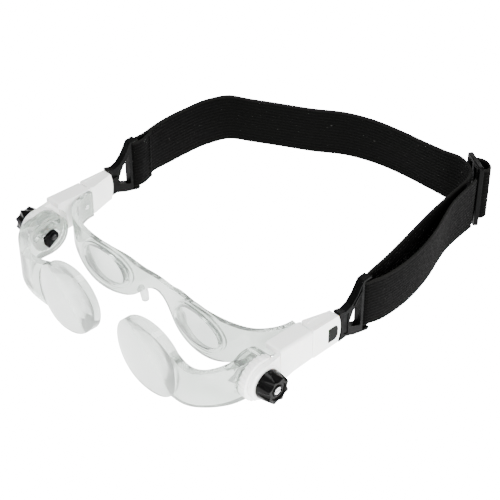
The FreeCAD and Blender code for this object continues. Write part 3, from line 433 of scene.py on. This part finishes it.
def smooth(points, step):
    """Stations on a smooth line through points of any number of values: every point, and between two of them
    evenly spaced at no more than the step, so that a tight turn keeps the detail of its own points."""
    count = len(points)
    at = [0.0]
    for a, b in zip(points, points[1:]):
        at.append(at[-1] + math.dist(a[:3], b[:3]))
    slopes = []
    for i in range(count):
        if i == 0 or i == count - 1:
            j = max(i, 1)
            slopes.append([(q - p) / (at[j] - at[j - 1]) for p, q in zip(points[j - 1], points[j])])
            continue
        before, after = at[i] - at[i - 1], at[i + 1] - at[i]
        slopes.append([
            ((q - p) / before * after + (r - q) / after * before) / (before + after)
            for p, q, r in zip(points[i - 1], points[i], points[i + 1])])
    places = []
    for seg in range(count - 1):
        parts = max(1, math.ceil((at[seg + 1] - at[seg]) / step))
        places += [(seg, k / parts) for k in range(parts)]
    places.append((count - 2, 1.0))
    stations = []
    for seg, u in places:
        span = at[seg + 1] - at[seg]
        h = (2 * u ** 3 - 3 * u ** 2 + 1, (u ** 3 - 2 * u ** 2 + u) * span,
             -2 * u ** 3 + 3 * u ** 2, (u ** 3 - u ** 2) * span)
        stations.append([
            h[0] * p + h[1] * m + h[2] * q + h[3] * n
            for p, m, q, n in zip(points[seg], slopes[seg], points[seg + 1], slopes[seg + 1])])
    return stations


def half_thickness(across):
    """Half the band's thickness at a place across it, 0 to 1: ribs with narrow grooves and rounded edges."""
    rim = abs(2 * across - 1)
    past = max(0.0, (rim - 1 + EDGE) / EDGE)
    round_off = math.sqrt(max(0.0, 1 - past ** 2))
    groove = 0.0
    if rim < PLAIN_RIM:
        groove = (0.5 + 0.5 * math.cos(2 * math.pi * ((across * RIBS) % 1.0))) ** 2
    return THICK / 2 * (EDGE_THICK + (1 - EDGE_THICK) * round_off) * (1 - GROOVE_DEEP * groove)


def band_rows(route):
    """Rings of points along a route of (x, y, bottom z, lean, width) in metres, each with its running length.
    Each point comes with how far along and across it is, in metres, and how near the edge, 0 to 1. Lean moves
    the top edge to the right of travel."""
    stations = smooth(route, STEP)
    lanes = RIBS * PER_RIB
    rows = []
    travelled = 0.0
    for i, (x, y, z, lean, wide) in enumerate(stations):
        a = stations[max(i - 1, 0)]
        b = stations[min(i + 1, len(stations) - 1)]
        along = Vector((b[0] - a[0], b[1] - a[1], b[2] - a[2])).normalized()
        right = Vector((along.y, -along.x, 0)).normalized()
        up = (right * lean + Vector((0, 0, math.sqrt(wide ** 2 - lean ** 2)))) / wide
        normal = along.cross(up).normalized()
        if i:
            travelled += math.dist(stations[i][:3], stations[i - 1][:3])
        ring = []
        for face in (1, -1):
            order = range(lanes + 1) if face > 0 else range(lanes, -1, -1)
            for k in order:
                across = k / lanes
                point = Vector((x, y, z)) + up * (wide * across) + normal * (face * half_thickness(across))
                ring.append((point, (travelled, WIDE * across, abs(2 * across - 1))))
        rows.append((travelled, ring))
    return rows


def band_piece(name, rows):
    """A closed length of webbing through the rings, with sharp cut ends."""
    mesh = bpy.data.meshes.new(name)
    bm = bmesh.new()
    runs = []
    made = []
    for _, ring in rows:
        made.append([bm.verts.new(point) for point, _ in ring])
        runs += [run for _, run in ring]
    for one, two in zip(made, made[1:]):
        size = len(one)
        for k in range(size):
            n = (k + 1) % size
            bm.faces.new((one[k], two[k], two[n], one[n]))
    for cap in (bm.faces.new(list(reversed(made[0]))), bm.faces.new(made[-1])):
        for edge in cap.edges:
            edge.smooth = False
    bmesh.ops.recalc_face_normals(bm, faces=bm.faces)
    for face in bm.faces:
        face.smooth = True
    bm.to_mesh(mesh)
    bm.free()
    attribute = mesh.attributes.new("webbing_run", "FLOAT_VECTOR", "POINT")
    attribute.data.foreach_set("vector", [value for run in runs for value in run])
    mesh.materials.append(WEBBING)
    obj = bpy.data.objects.new(name, mesh)
    bpy.context.scene.collection.objects.link(obj)
    return obj


def in_frame(points):
    """Route points given in mm in the design's own coordinates, in the frame and in metres. A point without a
    width has the full one."""
    return [((x - ORIGIN_X) * MM, (y - ORIGIN_Y) * MM, z * MM, lean * MM, wide[0] * MM if wide else WIDE)
            for x, y, z, lean, *wide in points]


# from here on, in mm in the design's own coordinates
BAR_X, BAR_Y = 82.1, 66.3   # middle of a clip's bar
WRAP = 1.85                 # radius of the webbing's centreline round it
WRAP_STATIONS = 12
LEFT_Z, LEFT_WIDE = 19.6, 25.2      # the webbing's lower edge and its width in the clip's slot
RIGHT_Z, RIGHT_WIDE = 18.4, 27.4


def half_turn(side, z, wide):
    """Centreline of the half turn round a clip's bar, from the inner side to the outer side."""
    angles = [math.pi * i / WRAP_STATIONS for i in range(WRAP_STATIONS + 1)]
    return [(side * (BAR_X - WRAP * math.cos(angle)), BAR_Y - WRAP * math.sin(angle), z, 0.0, wide)
            for angle in angles]


GLIDE_X, GLIDE_Y = 46.2, 192.7      # middle of the slider, its way along the band, and its outward side
GLIDE_ALONG = (-0.86, 0.51)
GLIDE_OUT = (0.51, 0.86)


def beside_slider(distance, side, z, lean=0.0):
    """A route point by its distance along the band from the slider's middle and outwards from it."""
    return (GLIDE_X + GLIDE_ALONG[0] * distance + GLIDE_OUT[0] * side,
            GLIDE_Y + GLIDE_ALONG[1] * distance + GLIDE_OUT[1] * side, z, lean)


# the webbing's one route: sewn flap, right clip, behind the head, slider, left clip and back to the slider
far_points = (
    [(-86.0, 80.6, 15.4, -0.8, 28.8), (-84.0, 76.6, 16.1, -0.6, 28.4), (-82.2, 73.2, 16.8, -0.4, 28.0),
     (-80.7, 69.6, 17.8, -0.1, 27.6)]
    + half_turn(-1, RIGHT_Z, RIGHT_WIDE)
    + [(-86.2, 75.0, 16.6, 0.8, 28.4), (-91.0, 88.0, 14.0, 1.6, 29.8),
       (-93.9, 101.6, 11.8, 1.8), (-95.4, 112.0, 10.8, 2.0), (-97.6, 134.0, 8.0, 2.4), (-95.4, 148.6, 6.0, 3.6),
       (-86.4, 157.6, 4.0, 4.0), (-76.3, 166.1, 2.5, 4.0), (-58.6, 178.6, 1.0, 4.0), (-42.3, 190.6, 0.3, 4.0),
       (-25.7, 196.4, 0.05, 4.0)])
near_points = (
    [(-7.5, 198.0, 0.4, 4.0), (12.0, 196.9, 1.4, 3.6), (26.0, 195.4, 2.4, 2.6),
     beside_slider(9.5, -4.3, 3.0, 0.6), beside_slider(-4.0, -4.1, 3.0, 0.0),
     (52.0, 179.0, 3.2, 0.2), (54.6, 168.0, 4.2, 0.3), (57.9, 154.0, 5.8, 0.3), (61.9, 137.0, 7.2, 0.4),
     (66.6, 119.0, 9.0, 0.4, 30.4), (71.2, 101.6, 11.0, 0.4, 29.5), (74.6, 88.0, 13.6, 0.4, 28.0),
     (77.9, 75.0, 17.0, 0.4, 26.4)]
    + half_turn(1, LEFT_Z, LEFT_WIDE)
    + [(83.6, 75.0, 17.0, 0.8, 26.4), (81.4, 88.0, 13.6, 2.0, 28.0),
       (78.5, 101.6, 11.0, 2.8, 29.5), (75.2, 114.0, 9.4, 3.0, 30.4), (70.6, 127.6, 7.8, 2.8),
       (65.0, 141.4, 6.6, 2.4), (60.8, 152.6, 5.6, 2.0), (58.4, 162.0, 4.8, 1.6), (56.4, 172.0, 3.8, 1.2),
       (54.8, 181.6, 3.1, 0.4)])
BAND_SPLIT = 0.24           # running length at the split behind the head, metres

band = band_rows(in_frame(far_points + near_points))
split_at = next(i for i, (run, _) in enumerate(band) if run > BAND_SPLIT)
far_band = band_piece("headband_far", band[:split_at + 1])
near_band = band_piece("headband_near", band[split_at:])
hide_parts("strap_right_end", "strap_band")
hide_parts("strap_left_loop", "strap_band", "strap_return")
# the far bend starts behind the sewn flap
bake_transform(far_band)
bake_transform(near_band)

# fold of webbing over the slider's middle bar, as distance along the band and distance inwards
BIGHT_Z = 3.2
bight_line = [(-5.6, 1.6), (-5.7, -1.6), (-6.1, -3.6), (-4.7, -6.2), (-1.0, -7.2), (3.0, -6.3), (5.5, -3.6),
              (5.7, -1.6), (5.6, 1.6)]
bight_band = band_rows(in_frame([beside_slider(along, -inwards, BIGHT_Z) for along, inwards in bight_line]))
bight = band_piece("slider_bight", bight_band)
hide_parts("strap_bight")
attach(bight, "slider")

finish_node("strap_stitching", THREAD)
